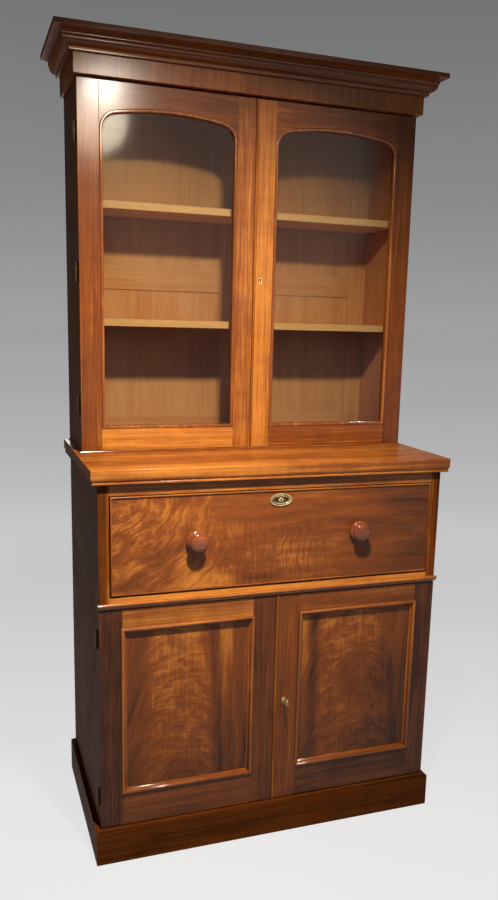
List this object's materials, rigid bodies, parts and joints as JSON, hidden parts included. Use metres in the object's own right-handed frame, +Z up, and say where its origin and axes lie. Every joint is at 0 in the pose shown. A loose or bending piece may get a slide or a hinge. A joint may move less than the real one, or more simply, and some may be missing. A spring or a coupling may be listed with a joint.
{
  "type": "secretaire bookcase",
  "caption": "Glazed bookcase with arched doors over a fall-front secretaire drawer with pigeonholes and a panelled cupboard on a plinth; every door, drawer, bolt and key moves.",
  "frame": {"origin": "on the floor, in the middle of the object's width and depth", "axes": "+Z up, +X to the right seen from the front, the front with the doors faces -Y"},
  "size_m": [1.122, 0.581, 2.2],
  "materials": {
    "mahogany": "French-polished straight-grained mahogany",
    "flame_mahogany": "French-polished flame-figured mahogany veneer",
    "secondary_wood": "waxed plain-sawn lining and carcase wood",
    "brass": "aged lacquered brass",
    "glass": "thin clear sheet glass",
    "leather": "smooth dark green skiver"
  },
  "bodies": {
    "carcase": {"base_side_left": "mahogany", "base_side_right": "mahogany", "base_back": "secondary_wood", "base_bottom": "secondary_wood", "base_top": "mahogany", "drawer_rails": "mahogany", "drawer_runners": "secondary_wood", "waist_moulding": "mahogany", "plinth": "mahogany", "cupboard_shelf": "secondary_wood", "shelf_pegs": "mahogany", "bookcase_side_left": "mahogany", "bookcase_side_right": "mahogany", "bookcase_top": "mahogany", "bookcase_bottom": "mahogany", "bookcase_back": "secondary_wood", "bookcase_shelves": "mahogany", "frieze": "mahogany", "cornice": "mahogany", "cornice_dust_board": "secondary_wood", "hinge_case_leaves": "brass", "hinge_pins": "brass"},
    "upper_left_door": {"upper_left_frame": "mahogany", "upper_left_glass": "glass", "upper_left_glazing_bead": "mahogany", "upper_left_brasses": "brass"},
    "upper_right_door": {"upper_right_frame": "mahogany", "upper_right_glass": "glass", "upper_right_glazing_bead": "mahogany", "upper_right_brasses": "brass", "upper_lock": "brass"},
    "lower_left_door": {"lower_left_frame": "mahogany", "lower_left_panel": "flame_mahogany", "lower_left_moulding": "mahogany", "lower_left_brasses": "brass"},
    "lower_right_door": {"lower_right_frame": "mahogany", "lower_right_panel": "flame_mahogany", "lower_right_moulding": "mahogany", "lower_right_brasses": "brass", "lower_lock": "brass"},
    "upper_left_bolt": {"upper_left_bolt": "brass"},
    "lower_left_bolt": {"lower_left_bolt": "brass"},
    "upper_lock_bolt": {"upper_lock_bolt": "brass"},
    "lower_lock_bolt": {"lower_lock_bolt": "brass"},
    "lower_key": {"lower_key": "brass"},
    "secretaire_drawer": {"drawer_box": "secondary_wood", "drawer_floor": "secondary_wood", "pigeonhole_case": "mahogany", "fall_pivots": "brass"},
    "fall": {"fall_front": "flame_mahogany", "fall_cockbead": "mahogany", "fall_knobs": "mahogany", "fall_lock": "brass", "fall_quadrants": "brass", "writing_leather": "leather"},
    "fall_lock_bolt": {"fall_lock_bolt": "brass"},
    "small_drawer_left": {"small_drawer_left": "mahogany"},
    "small_drawer_middle": {"small_drawer_middle": "mahogany"},
    "small_drawer_right": {"small_drawer_right": "mahogany"}
  },
  "joints": [
    {"name": "upper_left_door", "type": "hinge", "parent": "carcase", "child": "upper_left_door", "pos_m": [-0.503, 0.04, 1.597], "axis": [0, 0, -1], "range_deg": [0, 170]},
    {"name": "upper_right_door", "type": "hinge", "parent": "carcase", "child": "upper_right_door", "pos_m": [0.503, 0.04, 1.597], "axis": [0, 0, 1], "range_deg": [0, 170]},
    {"name": "lower_left_door", "type": "hinge", "parent": "carcase", "child": "lower_left_door", "pos_m": [-0.502, -0.228, 0.415], "axis": [0, 0, -1], "range_deg": [0, 170]},
    {"name": "lower_right_door", "type": "hinge", "parent": "carcase", "child": "lower_right_door", "pos_m": [0.502, -0.228, 0.415], "axis": [0, 0, 1], "range_deg": [0, 170]},
    {"name": "secretaire_slide", "type": "slide", "parent": "carcase", "child": "secretaire_drawer", "axis": [0, -1, 0], "range_m": [0, 0.28]},
    {"name": "fall_hinge", "type": "hinge", "parent": "secretaire_drawer", "child": "fall", "pos_m": [0, -0.2415, 0.781], "axis": [1, 0, 0], "range_deg": [0, 90]},
    {"name": "fall_bolt_slide", "type": "slide", "parent": "fall", "child": "fall_lock_bolt", "axis": [0, 0, 1], "range_m": [0, 0.0115]},
    {"name": "upper_lock_bolt_slide", "type": "slide", "parent": "upper_right_door", "child": "upper_lock_bolt", "axis": [-1, 0, 0], "range_m": [0, 0.0105]},
    {"name": "lower_key_turn", "type": "hinge", "parent": "lower_right_door", "child": "lower_key", "pos_m": [0.0255, -0.2505, 0.413], "axis": [0, 1, 0], "range_deg": [0, 90]},
    {"name": "lower_lock_bolt_slide", "type": "slide", "parent": "lower_right_door", "child": "lower_lock_bolt", "axis": [-1, 0, 0], "range_m": [0, 0.0105]},
    {"name": "upper_left_bolt_slide", "type": "slide", "parent": "upper_left_door", "child": "upper_left_bolt", "axis": [0, 0, 1], "range_m": [0, 0.01]},
    {"name": "lower_left_bolt_slide", "type": "slide", "parent": "lower_left_door", "child": "lower_left_bolt", "axis": [0, 0, 1], "range_m": [0, 0.01]},
    {"name": "small_drawer_left_slide", "type": "slide", "parent": "secretaire_drawer", "child": "small_drawer_left", "axis": [0, -1, 0], "range_m": [0, 0.15]},
    {"name": "small_drawer_middle_slide", "type": "slide", "parent": "secretaire_drawer", "child": "small_drawer_middle", "axis": [0, -1, 0], "range_m": [0, 0.15]},
    {"name": "small_drawer_right_slide", "type": "slide", "parent": "secretaire_drawer", "child": "small_drawer_right", "axis": [0, -1, 0], "range_m": [0, 0.15]}
  ],
  "couplings": [
    {"joint": "lower_lock_bolt_slide", "follows": "lower_key_turn", "m_per_rad": 0.0066845}
  ]
}
